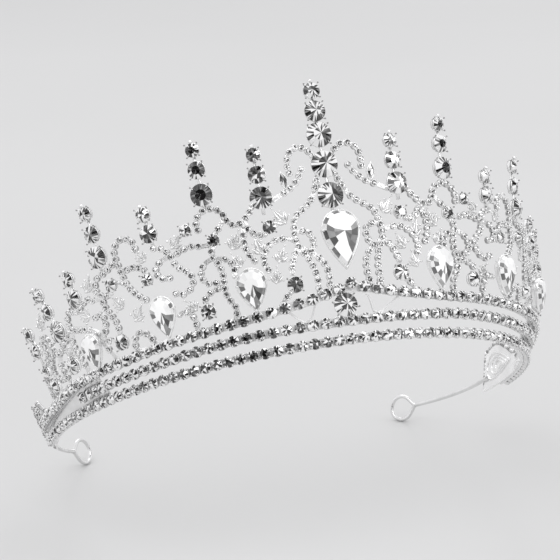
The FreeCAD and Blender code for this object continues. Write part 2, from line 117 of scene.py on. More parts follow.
def silver(name, tone, roughness, grain, depth, mirror, toned=False):
    """Bright plated metal: cast grain in its bump, uneven tone and polish, and, if toned, face tones of
    painted shade.
    """
    material, nodes, links, shader = new_material(name)
    place = nodes.new("ShaderNodeTexCoord")
    cloud = noise_node(nodes, CLOUD_SCALE, 4.0)
    fine = noise_node(nodes, grain, 3.0)
    links.new(place.outputs["Object"], cloud.inputs["Vector"])
    links.new(place.outputs["Object"], fine.inputs["Vector"])
    colour = ramp(nodes, ((0.3, tone * CLOUD_DIMMING), (0.62, tone)))
    links.new(cloud.outputs["Fac"], colour.inputs["Fac"])
    source = colour.outputs["Color"]
    if toned:
        # Painted shade: the face tones darken grooves, cup walls and creases by multiplying the colour
        shade = nodes.new("ShaderNodeAttribute")
        shade.attribute_name = "facet"
        painted_shade = mix_node(nodes, "MULTIPLY", 1.0)
        links.new(source, painted_shade.inputs["A"])
        links.new(shade.outputs["Color"], painted_shade.inputs["B"])
        source = painted_shade.outputs["Result"]
    links.new(source, shader.inputs["Base Color"])
    polish = nodes.new("ShaderNodeMapRange")
    polish.inputs["To Min"].default_value = roughness * POLISH_RANGE[0]
    polish.inputs["To Max"].default_value = roughness * POLISH_RANGE[1]
    links.new(fine.outputs["Fac"], polish.inputs["Value"])
    links.new(polish.outputs["Result"], shader.inputs["Roughness"])
    bump = nodes.new("ShaderNodeBump")
    bump.inputs["Strength"].default_value = 0.5
    bump.inputs["Distance"].default_value = depth
    links.new(fine.outputs["Fac"], bump.inputs["Height"])
    links.new(bump.outputs["Normal"], shader.inputs["Normal"])
    shader.inputs["Metallic"].default_value = mirror
    return material


def crystal(name, floor, mirror):
    """Foil-backed stone: each facet keeps its own tone of painted reflection, under a clear glassy surface.
    """
    material, nodes, links, shader = new_material(name)
    # The facet attribute holds painted reflections, one dark or bright tone for each facet
    tone = nodes.new("ShaderNodeAttribute")
    tone.attribute_name = "facet"
    place = nodes.new("ShaderNodeTexCoord")
    streak = noise_node(nodes, STREAK_SCALE, 1.0)
    links.new(place.outputs["Object"], streak.inputs["Vector"])
    wash = mix_node(nodes, "OVERLAY", STREAK_SHARE)
    links.new(tone.outputs["Color"], wash.inputs["A"])
    links.new(streak.outputs["Fac"], wash.inputs["B"])
    shade = ramp(nodes, ((0.0, floor), (0.5, 0.36), (0.9, 1.0)))
    links.new(wash.outputs["Result"], shade.inputs["Fac"])
    links.new(shade.outputs["Color"], shader.inputs["Base Color"])
    shader.inputs["Metallic"].default_value = mirror
    shader.inputs["Roughness"].default_value = 0.07
    shader.inputs["Coat Weight"].default_value = 0.6
    shader.inputs["Coat Roughness"].default_value = 0.02
    return material


SILVER = silver("cast_silver", 0.99, 0.22, 2600.0, 0.00012, 0.3)
TONED_SILVER = silver("setting_silver", 0.98, 0.14, 1800.0, 0.00006, 0.92, True)
LEAF_SILVER = silver("leaf_silver", 0.99, 0.2, 1100.0, 0.0003, 0.8, True)
POLISHED = silver("polished_silver", 0.98, 0.12, 900.0, 0.00003, 0.6)
WIRE = silver("wire_silver", 0.84, 0.16, 1200.0, 0.00002, 1.0)
SCROLL_SILVER = silver("scroll_silver", 0.92, 0.24, 800.0, 0.0009, 0.9)
CRYSTAL = crystal("clear_crystal", 0.025, 0.92)
DROP_CRYSTAL = crystal("teardrop_crystal", 0.03, 0.12)
SMALL_CRYSTAL = crystal("small_crystal", 0.05, 0.8)


# ---- Mesh building ----


class Shape:
    """Vertices and faces gathered for one piece, with a tone for each face."""

    def __init__(self):
        self.points = []
        self.faces = []
        self.tones = []

    def add(self, points, faces, tones=None, where=None):
        """Add a part, moved by where. Faces without tones are fully bright."""
        start = len(self.points)
        self.points += [where @ Vector(p) if where else Vector(p) for p in points]
        self.faces += [tuple(start + i for i in face) for face in faces]
        self.tones += tones if tones else [1.0] * len(faces)

    def piece(self, name, material, replaced, slot, smooth):
        """Make one visible piece with outward normals, in place of the CAD nodes in replaced."""
        mesh = bpy.data.meshes.new(name)
        mesh.from_pydata(self.points, [], self.faces)
        mesh.polygons.foreach_set("use_smooth", [smooth] * len(self.faces))
        facet = mesh.color_attributes.new("facet", "FLOAT_COLOR", "CORNER")
        values = []
        for face, tone in zip(self.faces, self.tones):
            values += [tone, tone, tone, 1.0] * len(face)
        facet.data.foreach_set("color", values)
        mesh.materials.append(material)
        skin = bmesh.new()
        skin.from_mesh(mesh)
        bmesh.ops.recalc_face_normals(skin, faces=skin.faces[:])
        skin.to_mesh(mesh)
        skin.free()
        made = bpy.data.objects.new(name, mesh)
        bpy.context.scene.collection.objects.link(made)
        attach(made, "root")
        if replaced:
            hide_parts(*replaced)


def frame_at(centre, out, up):
    """Local frame with Z along out and Y as near to up as it can be."""
    z = out.normalized()
    x = up.cross(z).normalized()
    y = z.cross(x)
    turn = Matrix((x, y, z)).transposed().to_4x4()
    return Matrix.Translation(centre) @ turn


def solids(node):
    """Corner positions of each separate solid in a CAD node."""
    mesh = frame["nodes"][node].data
    keys = [tuple(round(c, 6) for c in v.co) for v in mesh.vertices]
    parent = {k: k for k in keys}

    def root(k):
        while parent[k] != k:
            parent[k] = parent[parent[k]]
            k = parent[k]
        return k

    for face in mesh.polygons:
        first = root(keys[face.vertices[0]])
        for v in face.vertices[1:]:
            parent[root(keys[v])] = first
    groups = {}
    for k in parent:
        groups.setdefault(root(k), []).append(k)
    ordered = sorted(groups.values(), key=min)
    return [np.array(group) for group in ordered]


HEAD_CENTRE = BAND_ORIGIN + TIP @ (Vector((0, -10, 0)) * MM)


def round_site(points):
    """Centre of the girdle, outward axis and radius of a round stone."""
    middle = points.mean(0)
    spread = np.linalg.svd(points - middle)[2]
    axis = Vector(spread[2])
    if axis.dot(Vector(middle) - HEAD_CENTRE) < 0:
        axis.negate()
    rise = (points - middle) @ np.array(axis)
    flat = points - middle - np.outer(rise, np.array(axis))
    reach = np.linalg.norm(flat, axis=1)
    girdle = rise[reach > reach.max() * 0.97].mean()
    return Vector(middle) + axis * girdle, axis, float(reach.max())


BAND_UP = TIP @ Vector((0, 0, 1))


def round_sites(node):
    return [round_site(points) for points in solids(node)]


# Painted shade on the stones, in mm: its middle on the wearer's right, and how far it spreads
DARKEST_X = 26.0
DARK_SPREAD = 26.0

# Ranges of painted reflection tone, and how likely a wedge is to fall in them: the least, and how much a dark
# side adds
DARK_TONES = (0.0, 0.16)
MIDDLE_TONES = (0.25, 0.5)
BRIGHT_TONES = (0.92, 1.0)
DARK_CHANCE = (0.1, 0.26)
MIDDLE_CHANCE = (0.28, 0.3)
SHADE_WEIGHT = 0.42

# Cut of a round stone, in shares of its radius
MEETING_POINT = (0.1, 0.06, 0.36)
TABLE_REACH = 0.5
TABLE_RISE = 0.34
GIRDLE_RISE = 0.02
BACK_REACH = 0.84
BACK_RISE = -0.35
BACK_TONE = 0.3
JOINED_SHARE = 0.45


def wedge_tones(count, shade):
    """Painted reflections round a stone: one darker side, broken up by single bright and dark wedges."""
    heading = chance.uniform(0, math.tau)
    tones = []
    for i in range(count):
        side = 0.5 + 0.5 * math.cos(math.tau * i / count - heading)
        pick = chance.random()
        if pick < DARK_CHANCE[0] + SHADE_WEIGHT * shade + DARK_CHANCE[1] * side:
            tones.append(chance.uniform(*DARK_TONES))
        elif pick < MIDDLE_CHANCE[0] + SHADE_WEIGHT * shade + MIDDLE_CHANCE[1] * side:
            tones.append(chance.uniform(*MIDDLE_TONES))
        else:
            tones.append(chance.uniform(*BRIGHT_TONES))
    return tones


def painted_stone_shade(centre):
    """Painted shade: stones at the front on the wearer's right are painted darkest, and those at the ends
    brightest.
    """
    away = (centre.x / MM + DARKEST_X) / DARK_SPREAD
    return math.exp(-away * away)


def brilliant(shape, centre, out, radius, sectors, dimming=1.0):
    """Faceted round stone: narrow wedges that run from a meeting point near the middle to the girdle."""
    # Painted shade from where the stone sits, scaled by dimming
    shade = painted_stone_shade(centre) * dimming
    inner = TABLE_REACH * radius
    turn = chance.uniform(0, math.tau)
    points = [tuple(share * radius for share in MEETING_POINT)]
    for i in range(sectors):
        a = turn + math.tau * i / sectors
        points.append((inner * math.cos(a), inner * math.sin(a), TABLE_RISE * radius))
    for reach, height in ((radius, GIRDLE_RISE), (BACK_REACH * radius, BACK_RISE)):
        for i in range(2 * sectors):
            a = turn + math.pi * i / sectors
            points.append((reach * math.cos(a), reach * math.sin(a), height * radius))
    ring = 1 + sectors
    base = ring + 2 * sectors
    wedges = wedge_tones(sectors, shade)
    rim_tones = wedge_tones(3 * sectors, shade)
    faces = []
    tones = []
    for i in range(sectors):
        nxt = (i + 1) % sectors
        rim = [ring + (2 * i - 1) % (2 * sectors), ring + 2 * i, ring + (2 * i + 1) % (2 * sectors)]
        faces += [(0, 1 + i, 1 + nxt), (1 + i, rim[0], rim[1])]
        faces += [(1 + i, rim[1], rim[2]), (1 + i, rim[2], 1 + nxt)]
        same = chance.random() < JOINED_SHARE
        tones += [wedges[i], rim_tones[3 * i], rim_tones[3 * i + 1]]
        tones.append(wedges[i] if same else rim_tones[3 * i + 2])
    for i in range(2 * sectors):
        nxt = (i + 1) % (2 * sectors)
        faces.append((ring + i, base + i, base + nxt, ring + nxt))
        tones.append(BACK_TONE)
    shape.add(points, faces, tones, frame_at(centre, out, BAND_UP))


def bands(rows, sides):
    """Four-sided faces that join each ring of points to the next one."""
    faces = []
    for row in range(rows - 1):
        for i in range(sides):
            nxt = (i + 1) % sides
            faces.append((row * sides + i, row * sides + nxt,
                          (row + 1) * sides + nxt, (row + 1) * sides + i))
    return faces


def lathe(shape, profile, sides, where, row_tones):
    """Ring or cup turned about local Z from (radius, height) points, with a tone for each row."""
    points = []
    for radius, height in profile:
        for i in range(sides):
            a = math.tau * i / sides
            points.append((radius * math.cos(a), radius * math.sin(a), height))
    tones = [tone for tone in row_tones for i in range(sides)]
    shape.add(points, bands(len(profile), sides), tones, where)


def tube(shape, path, radii, sides=6, where=None):
    """Round rod along a path, with its own radius at each point."""
    points = []
    count = len(path)
    side = None
    for i, p in enumerate(path):
        run = (path[min(i + 1, count - 1)] - path[max(i - 1, 0)]).normalized()
        if side is None:
            side = run.orthogonal().normalized()
        side = (side - run * side.dot(run)).normalized()
        cross = run.cross(side)
        for k in range(sides):
            a = math.tau * k / sides
            points.append(p + (side * math.cos(a) + cross * math.sin(a)) * radii[i])
    faces = bands(count, sides)
    faces.append(tuple(range(sides))[::-1])
    faces.append(tuple((count - 1) * sides + k for k in range(sides)))
    shape.add(points, faces, None, where)


def bead(shape, where, spot, radius, tone=1.0):
    """Small ball of metal, with painted shade on its local -Z side."""
    profile = [(radius * math.sin(math.pi * (0.02 + 0.96 * i / 5)), -radius * math.cos(math.pi * i / 5))
               for i in range(6)]
    lathe(shape, profile, 8, where @ Matrix.Translation(spot), (0.3, 0.5, tone, tone, tone))


CLAW_THICKNESS = 0.17 * MM
CLAW_REACH = 0.62 * MM
CLAW_TIP = 0.26 * MM
SETTING_DEPTH = 1.6 * MM
SETTING_SIDES = 24


def prong(shape, where, radius, angle, thick):
    """Thin claw that leans out from the setting, with a small ball tip that hooks towards the stone."""
    way = Vector((math.cos(angle), math.sin(angle), 0))
    path = [way * (radius - 0.1 * MM) + Vector((0, 0, -1.1 * MM)),
            way * (radius + 0.3 * MM) + Vector((0, 0, -0.5 * MM)),
            way * (radius + 0.6 * MM) + Vector((0, 0, 0.0)),
            way * (radius + CLAW_REACH) + Vector((0, 0, 0.35 * MM))]
    tube(shape, path, [thick * 1.3, thick, thick * 0.9, thick * 0.8], 6, where)
    bead(shape, where, way * (radius + CLAW_REACH) + Vector((0, 0, 0.4 * MM)), CLAW_TIP, 0.45)
    hook = [way * (radius + 0.12 * MM) + Vector((0, 0, -0.3 * MM)), way * (radius + 0.14 * MM),
            way * (radius * 0.84) + Vector((0, 0, 0.22 * radius))]
    tube(shape, hook, [thick, thick, thick * 0.5], 6, where)


def claw_setting(shape, centre, out, radius, prongs):
    """Cup with a grooved rim behind a round stone, and claws spaced evenly round it."""
    where = frame_at(centre, out, BAND_UP)
    low = -SETTING_DEPTH
    profile = [(radius - 0.1 * MM, -0.1 * MM), (radius + 0.14 * MM, -0.06 * MM),
               (radius + 0.2 * MM, -0.3 * MM), (radius + 0.04 * MM, -0.45 * MM),
               (radius + 0.1 * MM, -0.6 * MM), (radius * 0.9, low),
               (radius * 0.5, low * 1.05), (0.02 * radius, low * 1.05)]
    # Painted shade in the groove round the rim
    lathe(shape, profile, SETTING_SIDES, where, (1.0, 1.0, 0.12, 0.3, 1.0, 0.9, 0.9))
    for i in range(prongs):
        prong(shape, where, radius, math.radians(45) + math.tau * i / prongs, CLAW_THICKNESS)


def nearest_node(names, spot):
    """The CAD node whose box is centred nearest to a spot."""
    return min(names, key=lambda n: ((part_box(n)[0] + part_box(n)[1]) / 2 - spot).length)


def corner_ways():
    """The four directions of small claws in a stone's local frame."""
    angles = [math.radians(45 + 90 * i) for i in range(4)]
    return [Vector((math.cos(a), math.sin(a), 0)) for a in angles]


# ---- Rails: cup chains on their strips ----
RAIL_STONE_SIZE = 1.02
RAIL_SECTORS = 8
RAIL_DIMMING = 0.7
CUP_SIDES = 16
CUP_DEPTH = 1.5 * MM
BRIGHT_WALL = 0.95

for rail in ("lower", "middle", "upper"):
    stones = Shape()
    cups = Shape()
    for centre, out, radius in round_sites(rail + "_rail_stones"):
        brilliant(stones, centre, out, radius * RAIL_STONE_SIZE, RAIL_SECTORS, RAIL_DIMMING)
        where = frame_at(centre, out, BAND_UP)
        low = -CUP_DEPTH
        first = len(cups.tones)
        profile = [(radius * 0.97, -0.02 * MM), (radius + 0.1 * MM, 0.0), (radius + 0.16 * MM, -0.3 * MM),
                   (radius + 0.05 * MM, -1.1 * MM), (radius * 0.8, low), (radius * 0.1, low)]
        # Painted shade: rows down the cup's outer wall are darker than its rim
        lathe(cups, profile, CUP_SIDES, where, (1.0, 0.7, 0.3, 0.4, 0.8))
        # Painted shade: the walls towards the cups beside it stay dark, and those above and below are painted
        # bright
        for row in (2, 3):
            for i in range(CUP_SIDES):
                if abs(math.sin(math.tau * (i + 0.5) / CUP_SIDES)) > 0.6:
                    cups.tones[first + CUP_SIDES * row + i] = BRIGHT_WALL
        for way in corner_ways():
            spot = way * (radius + 0.02 * MM)
            tube(cups, [spot, spot * 0.96 + Vector((0, 0, 0.4 * MM)), spot * 0.8 + Vector((0, 0, 0.62 * MM))],
                 [0.24 * MM, 0.24 * MM, 0.12 * MM], 6, where)
    stones.piece(rail + "_rail_gems", CRYSTAL, [rail + "_rail_stones"], "crystal", False)
    cups.piece(rail + "_rail_cup_chain", TONED_SILVER, [rail + "_rail_cups"], "plated_metal", True)

# ---- Spires ----
SPIRE_STONE_SIZE = 1.1
SPIRE_SETTING_SIZE = 1.07
STONE_SECTORS = 12
LARGE_STONE_SECTORS = 18
LARGE_STONE_RADIUS = 2.5 * MM
SPINE_RADIUS = 0.55 * MM
FINIAL_RADIUS = 0.62 * MM
# In mm, below the lowest stone
FOOT_LENGTH = 4.6

spire_nodes = sorted(n for n in frame["nodes"] if n.startswith("spire_") and "stones" not in n)
groups = {"center_spire": round_sites("center_spire_stones")}
for node in spire_nodes:
    groups[node] = []
for site in round_sites("spire_stones"):
    groups[nearest_node(spire_nodes, site[0])].append(site)

spire_gems = {"center_spire_stones": Shape(), "spire_stones": Shape()}
for node, sites in groups.items():
    work = Shape()
    sites.sort(key=lambda site: -site[0].z)
    gems = spire_gems["center_spire_stones" if node == "center_spire" else "spire_stones"]
    spine = [centre - out * 1.0 * MM for centre, out, radius in sites]
    foot = spine[-1] + (spine[-1] - spine[-2]).normalized() * FOOT_LENGTH * MM
    tube(work, spine + [foot], [SPINE_RADIUS] * (len(spine) + 1), 8)
    for centre, out, radius in sites:
        sectors = LARGE_STONE_SECTORS if radius > LARGE_STONE_RADIUS else STONE_SECTORS
        brilliant(gems, centre, out, radius * SPIRE_STONE_SIZE, sectors)
        claw_setting(work, centre, out, radius * SPIRE_SETTING_SIZE, 4)
    top, out, radius = sites[0]
    tip = Vector((0, radius + 0.5 * MM, -0.1 * MM))
    bead(work, frame_at(top, out, spine[0] - spine[1]), tip, FINIAL_RADIUS)
    work.piece(node + "_casting", TONED_SILVER, [node], "plated_metal", True)
for node, gems in spire_gems.items():
    gems.piece(node + "_cut", CRYSTAL, [node], "crystal", False)

# ---- Round stones along the band ----
ROUND_STONE_SIZE = 1.03
CLAW_SETS = (("round_stones", "round_settings", 4, STONE_SECTORS),
             ("base_stone", "base_setting", 6, LARGE_STONE_SECTORS))

for stone_node, setting_node, prongs, sectors in CLAW_SETS:
    gems = Shape()
    work = Shape()
    for centre, out, radius in round_sites(stone_node):
        brilliant(gems, centre, out, radius * ROUND_STONE_SIZE, sectors)
        claw_setting(work, centre, out, radius, prongs)
    gems.piece(stone_node + "_cut", CRYSTAL, [stone_node], "crystal", False)
    work.piece(setting_node + "_casting", TONED_SILVER, [setting_node], "plated_metal", True)

# ---- Small scroll stones in cups, and small balls where a bar is bare ----
SCROLL_STONE_SIZE = 0.88
SCROLL_SECTORS = 6
SCROLL_DIMMING = 0.25
SCROLL_WIDTH = 1.2 * MM
BALL_RADIUS = 0.62 * MM
BALL_TONE = 0.9
BALL_SPACING = 1.25 * MM
SMALL_STONE_CLEARANCE = 1.15 * MM
LARGE_STONE_CLEARANCE = 0.45 * MM
LARGE_STONES = ("round_stones", "base_stone", "center_spire_stones", "spire_stones", "center_drop_stone",
                "drop_stones")
large_points = np.concatenate([points for node in LARGE_STONES for points in solids(node)])


def bare_spots(side):
    """Places on the outer faces of the scroll bars that no stone covers, each with its outward way."""
    sites = round_sites("scroll_stones_" + side)
    middles = np.array([centre for centre, out, radius in sites])
    spots = []
    for number in range(1, 6):
        bars = frame["nodes"]["scroll_%d_%s" % (number, side)].data
        for face in bars.polygons:
            out = sites[int(np.linalg.norm(middles - np.array(face.center), axis=1).argmin())][1]
            corners = [bars.vertices[v].co for v in face.vertices]
            for k in range(3):
                a, b, far = corners[k], corners[k - 2], corners[k - 1]
                across = abs((a - b).length - SCROLL_WIDTH) < 0.05 * MM
                if not across or face.normal.dot(out) < 0.7:
                    continue
                for share in (0.0, 0.22, 0.44):
                    spot = ((a + b) / 2).lerp(far, share)
                    small_gap = np.linalg.norm(middles - np.array(spot), axis=1).min()
                    large_gap = np.linalg.norm(large_points - np.array(spot), axis=1).min()
                    clear = all((spot - kept).length > BALL_SPACING for kept, way in spots)
                    if clear and small_gap > SMALL_STONE_CLEARANCE and large_gap > LARGE_STONE_CLEARANCE:
                        spots.append((spot, out))
    return spots


for side in ("left", "right"):
    gems = Shape()
    beads = Shape()
    for centre, out, radius in round_sites("scroll_stones_" + side):
        where = frame_at(centre, out, BAND_UP)
        gem_size = radius * SCROLL_STONE_SIZE
        brilliant(gems, centre + out * 0.1 * MM, out, gem_size, SCROLL_SECTORS, SCROLL_DIMMING)
        profile = [(radius * 0.86, 0.05 * MM), (radius * 0.95, 0.3 * MM), (radius * 1.16, 0.26 * MM),
                   (radius * 1.27, 0.05 * MM), (radius * 1.16, -0.75 * MM)]
        # Painted shade down the outer wall of each cup, under its bright rim
        lathe(beads, profile, 12, where, (1.0, 1.0, 0.8, 0.45))
        for way in corner_ways():
            spot = way * radius * 1.02 + Vector((0, 0, 0.2 * MM))
            tube(beads, [spot, spot + Vector((0, 0, 0.26 * MM))], [0.22 * MM, 0.12 * MM], 5, where)
    for spot, out in bare_spots(side):
        bead(beads, frame_at(spot, out, BAND_UP), Vector((0, 0, 0.1 * MM)), BALL_RADIUS, BALL_TONE)
    gems.piece("scroll_gems_" + side, SMALL_CRYSTAL, ["scroll_stones_" + side], "small_crystal", False)
    beads.piece("scroll_cups_" + side, TONED_SILVER, [], "plated_metal", True)

# ---- Teardrops ----
DROP_WIDENING = 1.08
DROP_LENGTHENING = 1.02
DROP_SECTORS = 16
DROP_BELLY = 1.65
TIP_OFFSET = 1.5
BEZEL_SIDES = 40
# Rings of a teardrop's cut: their size, and their rise in shares of the half width
DROP_RINGS = ((0.48, 0.39), (0.87, 0.32), (1.0, 0.02))
# Section of a teardrop's bezel in mm: how far outside the stone, and how far out from its girdle
BEZEL_SECTION = ((-0.1, -0.05), (0.02, 0.16), (0.24, 0.12), (0.42, -0.15),
                 (0.3, -1.0), (-0.3, -1.9), (-1.2, -2.1))


def drop_frame(points):
    """Local frame, half width and height of a teardrop stone: Y up its length and Z out of its face."""
    middle = points.mean(0)
    axes = np.linalg.svd(points - middle)[2]
    long_way = Vector(axes[0])
    out = Vector(axes[2])
    if long_way.dot(BAND_UP) < 0:
        long_way.negate()
    if out.dot(Vector(middle) - HEAD_CENTRE) < 0:
        out.negate()
    across = long_way.cross(out)
    along = points @ np.array(long_way)
    wide = points @ np.array(across)
    rise = points @ np.array(out)
    wide_at = rise[np.argmax(wide)]
    centre = (long_way * (along.max() + along.min()) + across * (wide.max() + wide.min())) / 2
    centre += out * wide_at
    return centre, long_way, out, (wide.max() - wide.min()) / 2, along.max() - along.min()


def drop_outline(half_width, height, offset, count):
    """Teardrop outline, point down: a round head, and two full sides that run to the point."""
    radius = half_width + offset
    head = height / 2 - half_width
    tip = -height / 2 - TIP_OFFSET * offset
    points = []
    for i in range(count):
        t = abs(i / count - 0.5) * 2
        side = 1 if i < count / 2 else -1
        if t < 0.5:
            a = math.pi / 2 * (1 - t / 0.5)
            points.append(Vector((side * radius * math.cos(a), head + radius * math.sin(a), 0)))
        else:
            u = (t - 0.5) / 0.5
            belly = 1 - u ** DROP_BELLY
            points.append(Vector((side * radius * belly, head + (tip - head) * u, 0)))
    return points


# Painted reflections: tones of a teardrop's three rings of facets, from the point up the right side and down
# the left
CENTRE_TONES = ((1.0, 0.24, 0.14, 0.3, 1.0, 1.0, 1.0, 1.0, 1.0, 0.95, 0.9, 0.5, 0.3, 0.9, 1.0, 1.0),
                (0.9, 0.18, 0.3, 0.1, 0.35, 1.0, 0.95, 1.0, 0.9, 1.0, 0.95, 0.06, 0.4, 0.05, 0.95, 0.9),
                (0.25, 1.0, 0.9, 1.0, 0.7, 1.0, 0.45, 0.95, 0.35, 0.95, 0.3, 0.8, 0.1, 0.85, 0.3, 0.9))
SIDE_TONES = ((1.0, 0.1, 0.3, 1.0, 1.0, 1.0, 0.95, 1.0, 1.0, 1.0, 0.9, 1.0, 1.0, 0.95, 1.0, 0.3),
              (0.4, 0.06, 0.3, 0.95, 1.0, 0.85, 1.0, 0.9, 1.0, 0.85, 1.0, 0.6, 0.25, 1.0, 0.2, 1.0),
              (0.4, 0.9, 0.35, 0.9, 0.3, 0.9, 0.7, 0.95, 0.5, 0.95, 0.75, 0.4, 0.9, 0.2, 0.8, 0.6))


def drop_gem(shape, where, half_width, height, tone_rings):
    """Teardrop cut in three rings of facets round a meeting point above the middle."""
    count = DROP_SECTORS
    points = [(0.1 * half_width, 0.12 * height, 0.4 * half_width)]
    for scale, rise in DROP_RINGS:
        points += [p + Vector((0, 0.06 * (1 - scale) * height, rise * half_width))
                   for p in drop_outline(half_width * scale, height * scale, 0, count)]
    girdle = drop_outline(half_width, height, 0, count)
    points += [p * 0.8 + Vector((0, 0, -0.3 * half_width)) for p in girdle]
    faces = []
    tones = []
    for i in range(count):
        nxt = (i + 1) % count
        faces.append((0, 1 + i, 1 + nxt))
        for row in (1, 1 + count, 1 + 2 * count):
            faces.append((row + i, row + count + i, row + count + nxt, row + nxt))
        tones += [ring[i] for ring in tone_rings] + [0.4]
    shape.add(points, faces, tones, where)


def drop_bezel(shape, where, half_width, height):
    """Thin polished rim round a teardrop, with a closed tapering back and small claws."""
    count = BEZEL_SIDES
    points = []
    for offset, rise in BEZEL_SECTION:
        ring = drop_outline(half_width, height, offset * MM, count)
        points += [p + Vector((0, 0, rise * MM)) for p in ring]
    faces = bands(len(BEZEL_SECTION), count)
    faces.append(tuple((len(BEZEL_SECTION) - 1) * count + i for i in range(count))[::-1])
    shape.add(points, faces, None, where)
    outline = drop_outline(half_width, height, 0.2 * MM, 8)
    for i in (0, 2, 4, 6):
        p = outline[i]
        way = p.normalized()
        path = [p + Vector((0, 0, -0.8 * MM)), p + Vector((0, 0, 0.25 * MM)),
                p - way * 0.3 * MM + Vector((0, 0, 0.55 * MM)),
                p - way * 0.75 * MM + Vector((0, 0, 0.6 * MM))]
        tube(shape, path, [0.24 * MM, 0.24 * MM, 0.22 * MM, 0.13 * MM], 6, where)


drops = {"center_drop_stone": Shape(), "drop_stones": Shape()}
bezel_nodes = sorted(n for n in frame["nodes"] if n.startswith("drop_setting_"))
for node, gems in drops.items():
    for points in solids(node):
        centre, long_way, out, half_width, height = drop_frame(points)
        where = frame_at(centre, out, long_way)
        half_width *= DROP_WIDENING
        height *= DROP_LENGTHENING
        tone_rings = CENTRE_TONES if node == "center_drop_stone" else SIDE_TONES
        drop_gem(gems, where, half_width, height, tone_rings)
        setting = Shape()
        drop_bezel(setting, where, half_width, height)
        home = "center_drop_setting"
        if node == "drop_stones":
            home = nearest_node(bezel_nodes, centre)
        setting.piece(home + "_bezel", POLISHED, [home], "plated_metal", True)
    gems.piece(node + "_cut", DROP_CRYSTAL, [node], "crystal", False)

# ---- Leaves, and the two marquise stones beside the centre spire ----
# A leaf site nearer the middle and higher than this holds a marquise stone, in mm in the band's own frame
MARQUISE_REACH = 14.5
MARQUISE_LOWEST = 33
MARQUISE_SIZE = 1.1
MARQUISE_SECTORS = 12
MARQUISE_BELLY = 1.7
MARQUISE_SHADE = 0.3
# Section of a marquise bezel: size in shares of the stone, and how far out in mm
MARQUISE_SECTION = ((0.98, 0.05), (1.08, 0.2), (1.24, 0.1), (1.2, -0.6), (0.7, -0.9))
LOBE_ROWS = 8
# Painted shade across a lobe: darker down the crease in its middle, and a little darker at its edges and
# underside
LOBE_TONES = [0.9, 1.0, 0.7, 1.0, 0.9, 0.9, 0.9]
LEAF_LOBES = (-0.7, 0.7)
LEAF_BEADS = ((-0.35, 0.72), (0.35, 0.72), (-1.2, 0.5), (1.2, 0.5), (0.0, 1.1))


def blade(shape, where, turn, length, width):
    """One pointed lobe that grows from the foot of a leaf, with a raised rib down each half."""
    spin = where @ Matrix.Rotation(turn, 4, "Z")
    points = []
    for i in range(LOBE_ROWS):
        t = i / (LOBE_ROWS - 1)
        w = width / 2 * (1 - t) ** 0.8 * (0.35 + 1.3 * min(t * 2.2, 1.0))
        rise = 0.5 * MM * math.sin(math.pi * (0.1 + 0.8 * t))
        y = length * t
        points += [(-w, y, 0), (-w * 0.6, y, rise), (-w * 0.12, y, rise * 0.3), (w * 0.12, y, rise * 0.3),
                   (w * 0.6, y, rise), (w, y, 0), (0, y, -0.3 * MM)]
    shape.add(points, bands(LOBE_ROWS, len(LOBE_TONES)), LOBE_TONES * (LOBE_ROWS - 1), spin)


def marquise(gems, rims, where, half_width, height):
    """Stone pointed at both ends, cut in two rings of facets, in a thin bezel."""
    count = MARQUISE_SECTORS
    outline = []
    for i in range(count):
        rise = math.cos(math.tau * i / count)
        side = math.copysign(1 - abs(rise) ** MARQUISE_BELLY, math.sin(math.tau * i / count))
        outline.append(Vector((side * half_width, rise * height / 2, 0)))
    points = [(0, 0.06 * height, 0.5 * half_width)]
    for scale, lift in ((0.55, 0.45), (1.0, 0.1)):
        points += [p * scale + Vector((0, 0, lift * half_width)) for p in outline]
    faces = []
    for i in range(count):
        nxt = (i + 1) % count
        faces += [(0, 1 + i, 1 + nxt), (1 + i, 1 + count + i, 1 + count + nxt, 1 + nxt)]
    gems.add(points, faces, wedge_tones(2 * count, MARQUISE_SHADE), where)
    points = [p * scale + Vector((0, 0, lift * MM)) for scale, lift in MARQUISE_SECTION for p in outline]
    back = tuple((len(MARQUISE_SECTION) - 1) * count + i for i in range(count))
    rims.add(points, [back] + bands(len(MARQUISE_SECTION), count), None, where)


leaves = Shape()
marquise_gems = Shape()
marquise_rims = Shape()
for points in solids("leaves"):
    centre, long_way, out, half_width, height = drop_frame(points)
    site = TIP.transposed() @ (centre - BAND_ORIGIN) / MM
    if abs(site.x) < MARQUISE_REACH and site.z > MARQUISE_LOWEST:
        where = frame_at(centre + out * 0.4 * MM, out, long_way)
        marquise(marquise_gems, marquise_rims, where, half_width * MARQUISE_SIZE, height * MARQUISE_SIZE)
        continue
    foot = centre - long_way * height * 0.5
    where = frame_at(foot, out, long_way)
    blade(leaves, where, 0.0, height, half_width * 1.9)
    for turn in LEAF_LOBES:
        blade(leaves, where, turn, height * 0.68, half_width * 1.6)
    for turn, reach in LEAF_BEADS:
        spot = Vector((-math.sin(turn), math.cos(turn), 0)) * height * reach
        bead(leaves, where, spot + Vector((0, 0, 0.35 * MM)), 0.36 * MM)
    bead(leaves, where, Vector((0, 0, 0.35 * MM)), 0.5 * MM)
leaves.piece("leaf_castings", LEAF_SILVER, ["leaves"], "plated_metal", True)
marquise_gems.piece("marquise_stones_cut", CRYSTAL, [], "crystal", False)
marquise_rims.piece("marquise_bezels", POLISHED, [], "plated_metal", True)

# ---- End plates: a beaded border, and raised loops on the side towards the head ----
BORDER_PITCH = 1.25 * MM
BORDER_BEAD = 0.72 * MM
BORDER_TONES = (0.25, 1.0)
LOOP_RADIUS = 0.38 * MM
LOOP_SIZES = (1.0, 0.66, 0.34)
# In mm in the band's own frame: how the top edge is sampled, and the largest loop's size and place
BORDER_STEPS = 26
BORDER_STEP = 1.3
STEP_REACH = 0.7
EDGE_DEPTH = 0.4
LOWEST_TOP = 3.0
LOOP_HALF_WIDTH = 4.0
LOOP_LENGTH = 18.0
LOOP_SETBACK = 11.5
LOOP_HEIGHT = 5.4
LOOP_SLOPE = 0.1


